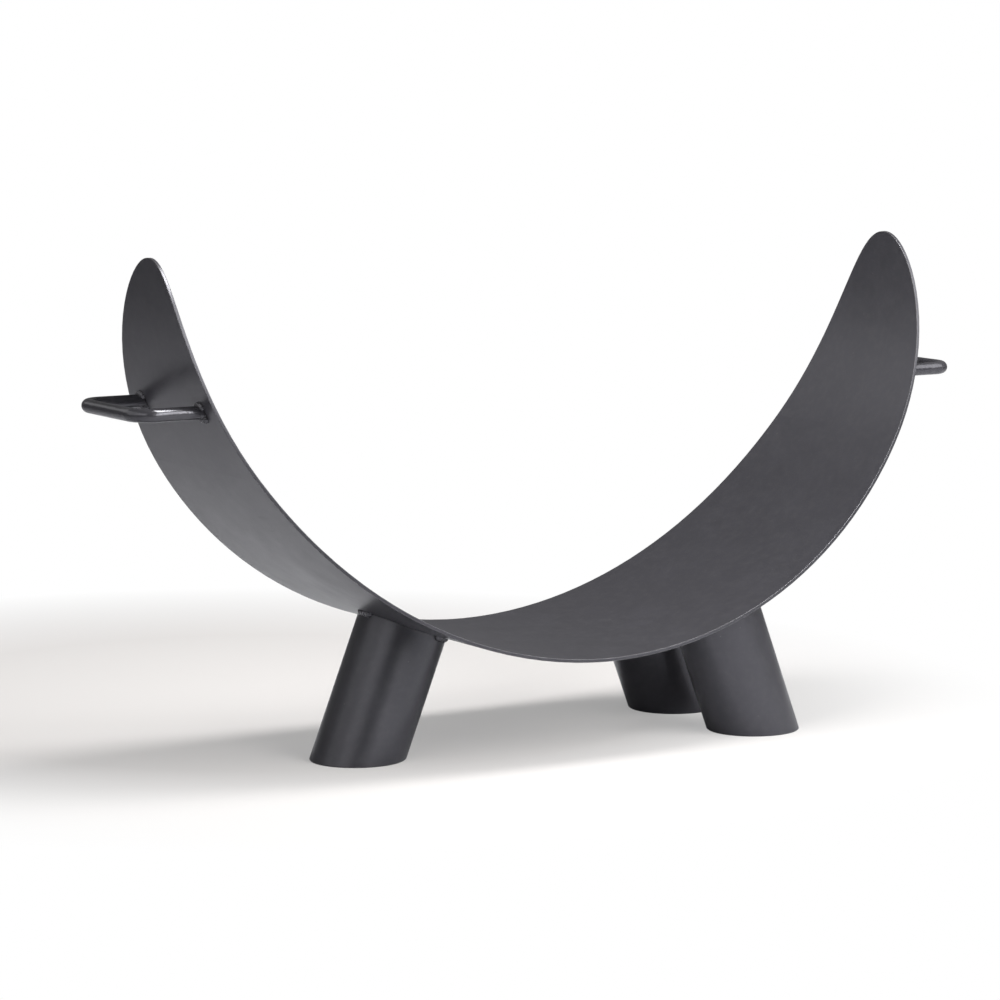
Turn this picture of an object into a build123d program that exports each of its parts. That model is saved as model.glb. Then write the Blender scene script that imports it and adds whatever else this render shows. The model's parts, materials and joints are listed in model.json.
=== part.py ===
from build123d import *
import os
from math import cos, degrees, pi, radians, sin, sqrt

os.makedirs("parts", exist_ok=True)

# A free-standing firewood rack: a rolled steel plate carried by three
# leaning tube legs, with a bent rod handle welded under each end.
# X runs from the single left leg to the pair of right legs, Y runs to the
# back and Z is up. The origin is on the floor below the middle of the plate.
# Lengths are in millimetres and angles in degrees.

# Plate, measured on the flat oval blank before it is rolled.
blank_length = 1200.0
blank_width = 252.0
plate_thickness = 3.0

# Rolling: a wide middle arc, then a tighter arc to each tip (outer face).
middle_radius = 420.0
middle_turn = 55.0
end_radius = 300.0
plate_clearance = 91.0

# Legs: round tube, all leaning outwards by the same angle.
leg_radius = 41.25
leg_wall = 3.0
leg_lean = 21.5
left_foot_x = -190.0
right_foot_x = 201.0
right_foot_y = 64.5
foot_edge_break = 0.8

# Handles: one length of round bar bent into a U.
rod_radius = 6.0
handle_height = 327.0
handle_reach = 60.0
handle_arm_y = 54.0
handle_bend_radius = 18.0

# Welds: short runs of overlapping beads in the corner of each joint.
leg_bead_radius = 4.2
leg_bead_pitch = 4.0
leg_beads_in_run = 4
rod_bead_radius = 3.8
rod_bead_pitch = 3.0
rod_beads_in_run = 3

# Cutting shapes run past the material they cut, and the flat blank's
# outline is carried round the roll through this many points.
overrun = 40.0
wall_overrun = 3.0
outline_points = 24

# Centres of the rolling arcs and the turn of each end arc.
middle_centre_z = plate_clearance + middle_radius
end_centre_x = (middle_radius - end_radius) * sin(radians(middle_turn))
end_centre_z = middle_centre_z - (middle_radius - end_radius) * cos(radians(middle_turn))
middle_arc_length = middle_radius * radians(middle_turn)
end_turn = degrees((blank_length / 2 - middle_arc_length) / end_radius)


def save(part, label):
    """Label one physical piece and write it to its own file."""
    part.label = label
    export_step(part, f"parts/{label}.step")


def on_plate(along, across, depth):
    """Point of the rolled plate: along and across the blank, below its outer face."""
    side = 1 if along >= 0 else -1
    past_middle = abs(along) - middle_arc_length
    if past_middle <= 0:
        turn = abs(along) / middle_radius
        reach = middle_radius - depth
        return Vector(side * reach * sin(turn), across, middle_centre_z - reach * cos(turn))
    turn = radians(middle_turn) + past_middle / end_radius
    reach = end_radius - depth
    return Vector(side * (end_centre_x + reach * sin(turn)), across, end_centre_z - reach * cos(turn))


def rolled_outline(depth):
    """The oval outline of the blank carried round the roll, at one depth."""
    points = []
    for step in range(outline_points):
        turn = 2 * pi * step / outline_points
        points.append(on_plate(blank_length / 2 * sin(turn), blank_width / 2 * cos(turn), depth))
    even_steps = [step / outline_points for step in range(outline_points + 1)]
    return Edge.make_spline(points, parameters=even_steps, periodic=True)


# The rolled strip: the plate's section, longer and wider than the blank.
strip_end_turn = end_turn + degrees(overrun / end_radius) / 2
with BuildPart() as strip:
    with BuildSketch(Plane.XZ):
        with BuildLine():
            middle_centre = (0, middle_centre_z)
            end_centre = (end_centre_x, end_centre_z)
            join_angle = 270 + middle_turn
            outer_middle = CenterArc(middle_centre, middle_radius, 270, middle_turn)
            outer_end = CenterArc(end_centre, end_radius, join_angle, strip_end_turn)
            inner_middle = CenterArc(middle_centre, middle_radius - plate_thickness, 270, middle_turn)
            inner_end = CenterArc(end_centre, end_radius - plate_thickness, join_angle, strip_end_turn)
            Line(outer_middle @ 0, inner_middle @ 0)
            Line(outer_end @ 1, inner_end @ 1)
        make_face()
        mirror(about=Plane.YZ)
    extrude(amount=blank_width / 2 + overrun, both=True)

# The cut edge stands square to the plate all the way round, so the strip is
# parted by a wall ruled between the outline outside it and the one inside it.
cut_wall = Face.make_surface_from_curves(
    rolled_outline(-wall_overrun),
    rolled_outline(plate_thickness + wall_overrun),
)
parted = split(strip.part, bisect_by=cut_wall, keep=Keep.ALL)
narrowest = parted.solids().sort_by(lambda piece: piece.bounding_box().size.Y)[0]

with BuildPart() as cradle_plate:
    add(narrowest)
save(cradle_plate.part, "cradle_plate")

# The room above the plate's outer face, taken off everything that is welded
# to it from below: the middle arc for the legs, an end arc for each handle.
with BuildPart() as middle_room:
    with Locations(Location((0, 0, middle_centre_z), (90, 0, 0))):
        Cylinder(middle_radius, blank_width)
with BuildPart() as end_room:
    with Locations(Location((end_centre_x, 0, end_centre_z), (90, 0, 0))):
        Cylinder(end_radius, blank_width)
    mirror(about=Plane.YZ)


def leg_place(foot_x, foot_y):
    """Where a leg's axis meets the floor, with Z turned along the leg."""
    tilt = leg_lean if foot_x < 0 else -leg_lean
    return Location((foot_x, foot_y, 0), (0, tilt, 0))


def leg_tube(foot_x, foot_y):
    """A leg: tube cut flat at the floor and coped to the plate's outer face."""
    with BuildPart() as leg:
        with Locations(leg_place(foot_x, foot_y)):
            Cylinder(leg_radius, middle_radius)
            Cylinder(leg_radius - leg_wall, middle_radius, mode=Mode.SUBTRACT)
        split(bisect_by=Plane.XY, keep=Keep.TOP)
        add(middle_room.part, mode=Mode.SUBTRACT)
        chamfer(leg.edges().group_by(Axis.Z)[0], foot_edge_break)
    return leg.part


def leg_seat(foot_x, foot_y, turn):
    """Point where a leg's outer wall meets the plate, at a turn about the leg's axis."""
    place = leg_place(foot_x, foot_y)
    start = (place * Location((leg_radius * cos(radians(turn)), leg_radius * sin(radians(turn)), 0))).position
    along = Plane(place).z_dir
    drop = start.Z - middle_centre_z
    half = start.X * along.X + drop * along.Z
    climb = -half - sqrt(half**2 - start.X**2 - drop**2 + middle_radius**2)
    return start + along * climb


def leg_weld(foot_x, foot_y, middle_of_run):
    """One run of beads where a leg meets the plate."""
    bead_turn = degrees(leg_bead_pitch / leg_radius)
    with BuildPart() as weld:
        for bead in range(leg_beads_in_run):
            turn = middle_of_run + (bead - (leg_beads_in_run - 1) / 2) * bead_turn
            with Locations(leg_seat(foot_x, foot_y, turn)):
                Sphere(leg_bead_radius)
        with Locations(leg_place(foot_x, foot_y)):
            Cylinder(leg_radius, middle_radius, mode=Mode.SUBTRACT)
        add(middle_room.part, mode=Mode.SUBTRACT)
    return weld.part


legs = {
    "left": (left_foot_x, 0.0),
    "right_front": (right_foot_x, -right_foot_y),
    "right_back": (right_foot_x, right_foot_y),
}
for name, (foot_x, foot_y) in legs.items():
    save(leg_tube(foot_x, foot_y), f"leg_{name}")
    outward = 180 if foot_x < 0 else 0
    save(leg_weld(foot_x, foot_y, outward), f"weld_leg_{name}_outer")
    front = -60 if foot_x < 0 else -120
    save(leg_weld(foot_x, foot_y, front), f"weld_leg_{name}_front")
    save(leg_weld(foot_x, foot_y, -front), f"weld_leg_{name}_back")


def plate_face_x(height):
    """How far out the end arc's outer face stands at a height."""
    return end_centre_x + sqrt(end_radius**2 - (height - end_centre_z) ** 2)


handle_seat_x = plate_face_x(handle_height)
handle_bar_x = handle_seat_x + handle_reach


def handle(side):
    """A handle: bar bent into a U, its two ends coped to the plate."""
    with BuildPart() as rod:
        with BuildLine(Plane.XY.offset(handle_height)) as bar_line:
            Polyline(
                (side * (handle_seat_x - overrun), -handle_arm_y),
                (side * handle_bar_x, -handle_arm_y),
                (side * handle_bar_x, handle_arm_y),
                (side * (handle_seat_x - overrun), handle_arm_y),
            )
            corners = bar_line.vertices().filter_by(lambda corner: abs(corner.X) > handle_seat_x)
            fillet(corners, handle_bend_radius)
        with BuildSketch(bar_line.line ^ 0):
            Circle(rod_radius)
        sweep()
        add(end_room.part, mode=Mode.SUBTRACT)
    return rod.part


def rod_weld(side, arm_y, middle_of_run):
    """One run of beads where a rod end meets the plate, at a turn about the rod."""
    bead_turn = degrees(rod_bead_pitch / rod_radius)
    with BuildPart() as weld:
        for bead in range(rod_beads_in_run):
            turn = radians(middle_of_run + (bead - (rod_beads_in_run - 1) / 2) * bead_turn)
            height = handle_height + rod_radius * cos(turn)
            with Locations((side * plate_face_x(height), arm_y + rod_radius * sin(turn), height)):
                Sphere(rod_bead_radius)
        with Locations(Location((side * handle_seat_x, arm_y, handle_height), (0, 90, 0))):
            Cylinder(rod_radius, handle_reach, mode=Mode.SUBTRACT)
        add(end_room.part, mode=Mode.SUBTRACT)
    return weld.part


for side_name, side in (("left", -1), ("right", 1)):
    save(handle(side), f"handle_{side_name}")
    for arm_name, arm_y in (("front", -handle_arm_y), ("back", handle_arm_y)):
        save(rod_weld(side, arm_y, 0), f"weld_handle_{side_name}_{arm_name}_top")
        save(rod_weld(side, arm_y, 180), f"weld_handle_{side_name}_{arm_name}_under")
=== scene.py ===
import json

import bpy
from mathutils import Matrix, Vector

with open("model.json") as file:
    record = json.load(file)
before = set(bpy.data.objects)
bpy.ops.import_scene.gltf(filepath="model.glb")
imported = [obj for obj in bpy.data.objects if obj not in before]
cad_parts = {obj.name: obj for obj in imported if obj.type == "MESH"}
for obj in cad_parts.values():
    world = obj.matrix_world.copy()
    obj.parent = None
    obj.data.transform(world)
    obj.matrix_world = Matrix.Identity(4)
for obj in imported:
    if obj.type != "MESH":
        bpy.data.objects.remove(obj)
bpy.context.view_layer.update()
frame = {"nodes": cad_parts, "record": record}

# One satin stove paint for each kind of metal stock. Wear is how far its edges
# are rubbed to a pale tone, which is partly real wear and partly a painted
# highlight along the cut edges; offset moves its textures, and lumps are the
# unevenness of the metal under it: their scale, strength and depth.
# The denoiser treats a roughness below about 0.27 as a mirror and outlines the
# patches that cross it. So the clouds and the mottle keep each paint on one
# side: plate and tube above it, rod and weld below it.
PAINTS = {
    "painted_plate": {
        "base": (0.038, 0.037, 0.0425),
        "roughness": 0.34,
        "edge_wear_and_highlight": 0.65,
        "offset": 0.0,
        "lumps": (14.0, 0.12, 0.004),
    },
    "painted_tube": {
        "base": (0.028, 0.0273, 0.0315),
        "roughness": 0.32,
        "edge_wear_and_highlight": 0.3,
        "offset": 3.1,
        "lumps": (24.0, 0.12, 0.003),
    },
    "painted_rod": {
        "base": (0.032, 0.0312, 0.0355),
        "roughness": 0.22,
        "edge_wear_and_highlight": 0.3,
        "offset": 7.7,
        "lumps": (150.0, 0.35, 0.0012),
    },
    "painted_weld": {
        "base": (0.044, 0.043, 0.048),
        "roughness": 0.19,
        "edge_wear_and_highlight": 0.4,
        "offset": 12.3,
        "lumps": (260.0, 0.8, 0.0016),
    },
}
DUST = (0.17, 0.165, 0.155)
# The pale tone of rubbed edges: partly real wear, partly a painted highlight along the cut edges.
RUBBED_EDGE_AND_HIGHLIGHT = (0.24, 0.235, 0.23)
PAINT_IOR = 1.52
PAINT_SPECULAR = 0.55
PAINT_TINT = (0.97, 0.96, 1.04, 1.0)

# How much of a paint's offset its textures move by on each axis.
OFFSET_SHARES = (1.0, 0.7, -0.4)

# Scale of each texture of the paint, in features per metre.
CLOUD_SCALE = 9.0
MOTTLE_SCALE = 48.0
GRAIN_SCALE = 140.0
SPECK_SCALE = 95.0
PATCH_SCALE = 26.0
NICK_SCALE = 210.0
PEEL_SCALE = 620.0

# The band of each texture that a ramp stretches over its whole range.
CLOUD_BAND = (0.32, 0.68)
CLOUD_GLOSS_BAND = (0.3, 0.7)
MOTTLE_BAND = (0.75, 0.25)
MOTTLE_GLOSS_BAND = (0.25, 0.75)
GRAIN_BAND = (0.45, 0.75)
SPECK_BAND = (0.075, 0.03)
PATCH_BAND = (0.52, 0.68)
NICK_BAND = (0.46, 0.66)

# Multiples of the base colour that the clouds and the mottle reach, and how
# much dust the grain and a speck hold.
CLOUD_SHADES = (0.93, 1.07)
MOTTLE_SHADE = 0.88
GRAIN_DUST = 0.05
SPECK_DUST = 0.5

# How far the clouds and the mottle each move the roughness, how much dust adds
# to it and how much a rubbed edge takes off.
GLOSS_SPREAD = 0.02
DUST_ROUGHENS = 0.3
RUBBING_SMOOTHS = 0.11

# Edges are rounded to this radius in metres. The rubbing sets in at the first
# cosine between the rounded and the true normal and is full at the second, and
# this share of it is left between the nicks. Its pale tone is partly a painted
# highlight along the cut edges.
EDGE_RADIUS = 0.0011
EDGE_SAMPLES = 6
EDGE_BAND = (0.99, 0.86)
NICK_LEAST = 0.4

# Orange peel: its strength, and its depth in metres.
PEEL_STRENGTH = 0.1
PEEL_DEPTH = 0.0004

# Camera, from the fit to the photograph.
CAMERA_AT = (-1.916716, -2.924905, 0.687834)
CAMERA_RIGHT = (0.842137, -0.539225, 0.006406)
CAMERA_UP = (0.066009, 0.114865, 0.991186)
CAMERA_LOOK = (0.535208, 0.834292, -0.132326)
LENS = 138.9007
SENSOR_WIDTH = 36.0
CLIP_END = 100.0

# Floor: half its side, the two tones that it throws back at the rack, and the
# tone that the camera sees.
FLOOR_REACH = 30.0
FLOOR_PAPER = ((0.56, 0.562, 0.58), (0.60, 0.602, 0.62))
FLOOR_SEEN = (0.56, 0.536, 0.52)
FLOOR_CLOUD_SCALE = 3.0
FLOOR_CLOUD_BAND = (0.3, 0.7)
FLOOR_ROUGHNESS = 0.9
FLOOR_SPECULAR = 0.1

# The floor keeps its shadow inside an oval that lies behind and to the left of
# the rack, and turns plain white between these multiples of the oval's size.
# A share of white lifts the shadow everywhere.
SHADOW_CENTRE = (-0.1025, 0.303, 0.0)
SHADOW_TURN = -0.569
SHADOW_SIZE = (0.38, 0.36, 1.0)
SHADOW_FADE = (1.0, 1.9)
SHADOW_LIFT = 0.3

# The dim room that lights the rack from all round, and the white that the
# camera sees behind it and far out on the floor.
ROOM_COLOUR = (1.0, 0.99, 1.0, 1.0)
ROOM_STRENGTH = 0.14
WHITE = (1.0, 1.0, 1.0, 1.0)

# Soft boxes, in metres and watts: the direction, distance, size and power.
# They all face this point in the middle of the rack.
SOFTBOX_AIM = (0.0, 0.0, 0.25)
SOFTBOXES = {
    "front_right": ((0.42, -0.84, 0.60), 2.7, (1.4, 1.3), 46.0),
    "front_low": ((0.06, -0.97, 0.30), 1.9, (0.9, 0.9), 17.5),
    "front_left": ((-0.85, -0.50, 0.45), 2.7, (1.3, 1.3), 10.0),
    "left": ((-0.90, 0.06, 0.43), 1.5, (1.1, 0.9), 3.3),
    "right": ((0.84, -0.54, 0.60), 1.6, (1.1, 1.0), 11.5),
    "left_back": ((-0.60, 0.75, 0.55), 2.4, (1.6, 1.0), 4.2),
    "overhead": ((0.10, -0.20, 1.0), 1.1, (0.5, 0.5), 20.0),
}

# Nodes are laid out in rows in the shader editor, in the order they are made.
NODES_IN_ROW = 8
NODE_WIDTH = 220
NODE_HEIGHT = 360


def scaled(values, multiple):
    """Each of some values, such as the channels of a colour, times a multiple."""
    return tuple(value * multiple for value in values)


def node(tree, kind, **values):
    """Adds a shader node and sets its properties."""
    row, column = divmod(len(tree.nodes), NODES_IN_ROW)
    made = tree.nodes.new(kind)
    made.location = (column * NODE_WIDTH, -row * NODE_HEIGHT)
    for key, value in values.items():
        setattr(made, key, value)
    return made


def ramp(tree, source, band, values=(0.0, 1.0)):
    """Maps the two ends of a band to two values, clamped."""
    made = node(tree, "ShaderNodeMapRange", clamp=True)
    made.inputs["From Min"].default_value, made.inputs["From Max"].default_value = band
    made.inputs["To Min"].default_value, made.inputs["To Max"].default_value = values
    tree.links.new(source, made.inputs["Value"])
    return made.outputs["Result"]


def share(tree, source, most):
    """Maps a value of 0 to 1 to one of 0 to most."""
    return ramp(tree, source, (0.0, 1.0), (0.0, most))


def arithmetic(tree, operation, first, second, **values):
    """Adds, subtracts or multiplies two sockets."""
    made = node(tree, "ShaderNodeMath", operation=operation, **values)
    tree.links.new(first, made.inputs[0])
    tree.links.new(second, made.inputs[1])
    return made.outputs[0]


def blend_colour(tree, factor, first, second):
    """Mixes two colours, each a tuple or a socket, by a factor socket."""
    made = node(tree, "ShaderNodeMix", data_type="RGBA")
    tree.links.new(factor, made.inputs["Factor"])
    for name, value in (("A", first), ("B", second)):
        socket = next(entry for entry in made.inputs if (entry.name, entry.type) == (name, "RGBA"))
        if isinstance(value, tuple):
            socket.default_value = (*value, 1.0)
        else:
            tree.links.new(value, socket)
    return next(entry for entry in made.outputs if entry.type == "RGBA")


def mix_shader(tree, factor, first, second):
    """Mixes two shaders by a factor socket."""
    made = node(tree, "ShaderNodeMixShader")
    for source, socket in zip((factor, first, second), made.inputs):
        tree.links.new(source, socket)
    return made.outputs[0]


def noise(tree, coords, scale, detail=2.0, rough=0.55):
    """A noise texture, from 0 to 1 and mostly near the middle."""
    made = node(tree, "ShaderNodeTexNoise")
    made.inputs["Scale"].default_value = scale
    made.inputs["Detail"].default_value = detail
    made.inputs["Roughness"].default_value = rough
    tree.links.new(coords, made.inputs["Vector"])
    return made.outputs["Fac"]


def object_coords(tree, offset):
    """Object coordinates in metres, moved by an offset."""
    place = node(tree, "ShaderNodeTexCoord")
    made = node(tree, "ShaderNodeMapping")
    made.inputs["Location"].default_value = scaled(OFFSET_SHARES, offset)
    tree.links.new(place.outputs["Object"], made.inputs["Vector"])
    return made.outputs["Vector"]


def bump(tree, height, normal, strength, depth):
    """A normal with the height of a texture laid over it."""
    made = node(tree, "ShaderNodeBump")
    made.inputs["Strength"].default_value = strength
    made.inputs["Distance"].default_value = depth
    tree.links.new(height, made.inputs["Height"])
    tree.links.new(normal, made.inputs["Normal"])
    return made.outputs["Normal"]


def cloudy_tone(tree, coords, base, cloud, mottle):
    """The base colour in clouds where the spray overlapped, mottled and dusty."""
    dark, light = (scaled(base, multiple) for multiple in CLOUD_SHADES)
    tone = blend_colour(tree, ramp(tree, cloud, CLOUD_BAND), dark, light)
    tone = blend_colour(tree, ramp(tree, mottle, MOTTLE_BAND), tone, scaled(base, MOTTLE_SHADE))
    grain = noise(tree, coords, GRAIN_SCALE, detail=3.0)
    return blend_colour(tree, ramp(tree, grain, GRAIN_BAND, (0.0, GRAIN_DUST)), tone, DUST)


def dust_specks(tree, coords):
    """Dust in small soft dots, more of them in some patches than in others."""
    dots = node(tree, "ShaderNodeTexVoronoi", feature="F1", voronoi_dimensions="3D")
    dots.inputs["Scale"].default_value = SPECK_SCALE
    tree.links.new(coords, dots.inputs["Vector"])
    speck = ramp(tree, dots.outputs["Distance"], SPECK_BAND)
    patch = ramp(tree, noise(tree, coords, PATCH_SCALE), PATCH_BAND)
    return share(tree, arithmetic(tree, "MULTIPLY", speck, patch), SPECK_DUST)


def rounded_edges(tree):
    """A normal rounded over the edges, and how near an edge each point is."""
    rounded = node(tree, "ShaderNodeBevel", samples=EDGE_SAMPLES)
    rounded.inputs["Radius"].default_value = EDGE_RADIUS
    surface = node(tree, "ShaderNodeNewGeometry")
    alike = node(tree, "ShaderNodeVectorMath", operation="DOT_PRODUCT")
    tree.links.new(rounded.outputs["Normal"], alike.inputs[0])
    tree.links.new(surface.outputs["Normal"], alike.inputs[1])
    return rounded.outputs["Normal"], ramp(tree, alike.outputs["Value"], EDGE_BAND)


def paint_roughness(tree, roughness, cloud, mottle, dust, edge):
    """Gloss follows the clouds and the mottle. Dust is dull and rubbed edges shine."""
    ends = (roughness - GLOSS_SPREAD, roughness + GLOSS_SPREAD)
    result = ramp(tree, cloud, CLOUD_GLOSS_BAND, ends)
    for operation, change in (
        ("ADD", ramp(tree, mottle, MOTTLE_GLOSS_BAND, (-GLOSS_SPREAD, GLOSS_SPREAD))),
        ("ADD", share(tree, dust, DUST_ROUGHENS)),
        ("SUBTRACT", share(tree, edge, RUBBING_SMOOTHS)),
    ):
        result = arithmetic(tree, operation, result, change, use_clamp=True)
    return result


def satin_paint(name, base, roughness, edge_wear_and_highlight, offset, lumps):
    """Satin stove paint: cloudy tone, fine orange peel, dust specks, and rubbed edges whose pale
    tone is partly a painted highlight.
    """
    material = bpy.data.materials.new(name)
    material.use_nodes = True
    tree = material.node_tree
    coords = object_coords(tree, offset)
    cloud = noise(tree, coords, CLOUD_SCALE, detail=4.0)
    mottle = noise(tree, coords, MOTTLE_SCALE, detail=3.0, rough=0.5)
    dust = dust_specks(tree, coords)
    rounded, edge = rounded_edges(tree)
    nick = noise(tree, coords, NICK_SCALE, detail=3.0)
    nicks = ramp(tree, nick, NICK_BAND, (NICK_LEAST, 1.0))
    # Rubbed edges: real wear, and also a painted highlight along the cut edges.
    rubbed_and_highlight = share(tree, arithmetic(tree, "MULTIPLY", edge, nicks), edge_wear_and_highlight)

    tone = cloudy_tone(tree, coords, base, cloud, mottle)
    tone = blend_colour(tree, dust, tone, DUST)
    # Rubbed edges turn pale: partly wear, partly a painted highlight.
    tone = blend_colour(tree, rubbed_and_highlight, tone, RUBBED_EDGE_AND_HIGHLIGHT)
    gloss = paint_roughness(tree, roughness, cloud, mottle, dust, edge)

    # Orange peel over the rounded edges, then the unevenness of the metal.
    peel = noise(tree, coords, PEEL_SCALE)
    peeled = bump(tree, peel, rounded, PEEL_STRENGTH, PEEL_DEPTH)
    lump_scale, lump_strength, lump_depth = lumps
    lump = noise(tree, coords, lump_scale)
    uneven = bump(tree, lump, peeled, lump_strength, lump_depth)

    shader = tree.nodes["Principled BSDF"]
    shader.inputs["Metallic"].default_value = 0.0
    shader.inputs["IOR"].default_value = PAINT_IOR
    shader.inputs["Specular IOR Level"].default_value = PAINT_SPECULAR
    shader.inputs["Specular Tint"].default_value = PAINT_TINT
    tree.links.new(tone, shader.inputs["Base Color"])
    tree.links.new(gloss, shader.inputs["Roughness"])
    tree.links.new(uneven, shader.inputs["Normal"])
    return material


def paint_nodes():
    """Gives each CAD node the paint that its slot in the record names."""
    paints = {name: satin_paint(name, **values) for name, values in PAINTS.items()}
    slot_of = {entry["node"]: entry["material_slot"] for entry in frame["record"]["subparts"]}
    for name, part in frame["nodes"].items():
        for slot in part.material_slots:
            slot.material = paints[slot_of[name]]


def past_shadow(tree, place):
    """How white the floor is: a little in the shadow's oval and wholly far from it."""
    oval = node(tree, "ShaderNodeMapping", vector_type="TEXTURE")
    oval.inputs["Location"].default_value = SHADOW_CENTRE
    oval.inputs["Rotation"].default_value = (0.0, 0.0, SHADOW_TURN)
    oval.inputs["Scale"].default_value = SHADOW_SIZE
    tree.links.new(place, oval.inputs["Vector"])
    reach = node(tree, "ShaderNodeVectorMath", operation="LENGTH")
    tree.links.new(oval.outputs["Vector"], reach.inputs[0])
    return ramp(tree, reach.outputs["Value"], SHADOW_FADE, (SHADOW_LIFT, 1.0))


def floor_material():
    """A pale seamless floor that keeps the shadow and is plain white past it."""
    material = bpy.data.materials.new("pale_floor")
    material.use_nodes = True
    tree = material.node_tree
    seen = node(tree, "ShaderNodeLightPath").outputs["Is Camera Ray"]
    place = node(tree, "ShaderNodeTexCoord").outputs["Object"]
    cloud = noise(tree, place, FLOOR_CLOUD_SCALE)
    paper = blend_colour(tree, ramp(tree, cloud, FLOOR_CLOUD_BAND), *FLOOR_PAPER)
    shader = tree.nodes["Principled BSDF"]
    tree.links.new(blend_colour(tree, seen, paper, FLOOR_SEEN), shader.inputs["Base Color"])
    shader.inputs["Roughness"].default_value = FLOOR_ROUGHNESS
    shader.inputs["Specular IOR Level"].default_value = FLOOR_SPECULAR

    # Only the camera sees the white: the rack is lit by the paper.
    white = node(tree, "ShaderNodeEmission")
    white.inputs["Color"].default_value = WHITE
    seen_white = arithmetic(tree, "MULTIPLY", past_shadow(tree, place), seen)
    top = mix_shader(tree, seen_white, shader.outputs[0], white.outputs[0])

    # From below the floor is clear, so that the underside can be looked at.
    side = node(tree, "ShaderNodeNewGeometry")
    clear = node(tree, "ShaderNodeBsdfTransparent")
    both = mix_shader(tree, side.outputs["Backfacing"], top, clear.outputs[0])
    tree.links.new(both, tree.nodes["Material Output"].inputs["Surface"])
    return material


def stage_floor():
    """The flat floor that the rack stands on."""
    near, far = -FLOOR_REACH, FLOOR_REACH
    corners = [(near, near, 0), (far, near, 0), (far, far, 0), (near, far, 0)]
    mesh = bpy.data.meshes.new("floor")
    mesh.from_pydata(corners, [], [(0, 1, 2, 3)])
    mesh.materials.append(floor_material())
    floor = bpy.data.objects.new("floor", mesh)
    bpy.context.collection.objects.link(floor)
    return floor


def world_light():
    """White behind the part for the camera, a dimmer room for everything else."""
    world = bpy.data.worlds.new("studio")
    bpy.context.scene.world = world
    world.use_nodes = True
    tree = world.node_tree
    room = tree.nodes["Background"]
    room.inputs["Color"].default_value = ROOM_COLOUR
    room.inputs["Strength"].default_value = ROOM_STRENGTH
    white = node(tree, "ShaderNodeBackground")
    white.inputs["Color"].default_value = WHITE
    seen = node(tree, "ShaderNodeLightPath").outputs["Is Camera Ray"]
    chosen = mix_shader(tree, seen, room.outputs[0], white.outputs[0])
    tree.links.new(chosen, tree.nodes["World Output"].inputs["Surface"])


def softbox(name, direction, distance, size, power):
    """An area light that faces the rack from a direction."""
    light = bpy.data.lights.new(name, "AREA")
    light.shape = "RECTANGLE"
    light.size, light.size_y = size
    light.energy = power
    holder = bpy.data.objects.new(name, light)
    away = Vector(direction).normalized()
    holder.location = Vector(SOFTBOX_AIM) + away * distance
    holder.rotation_euler = away.to_track_quat("Z", "Y").to_euler()
    bpy.context.collection.objects.link(holder)
    return holder


def keep_off(light, part, floor):
    """Keeps a light off one part, where it would glare when seen from behind."""
    lit = bpy.data.collections.new(f"lit_by_{light.name}")
    for piece in (*frame["nodes"].values(), floor):
        if piece is not part:
            lit.objects.link(piece)
    light.light_linking.receiver_collection = lit


def camera():
    """The camera that was fitted to the photograph."""
    lens = bpy.data.cameras.new("camera")
    lens.sensor_width = SENSOR_WIDTH
    lens.lens = LENS
    lens.clip_end = CLIP_END
    holder = bpy.data.objects.new("camera", lens)
    turn = Matrix((CAMERA_RIGHT, CAMERA_UP, -Vector(CAMERA_LOOK))).transposed()
    holder.matrix_world = Matrix.Translation(CAMERA_AT) @ turn.to_4x4()
    bpy.context.collection.objects.link(holder)
    bpy.context.scene.camera = holder


paint_nodes()
floor = stage_floor()
world_light()
lights = {name: softbox(name, *values) for name, values in SOFTBOXES.items()}
keep_off(lights["front_low"], frame["nodes"]["cradle_plate"], floor)
camera()
bpy.context.scene.view_settings.view_transform = "Standard"
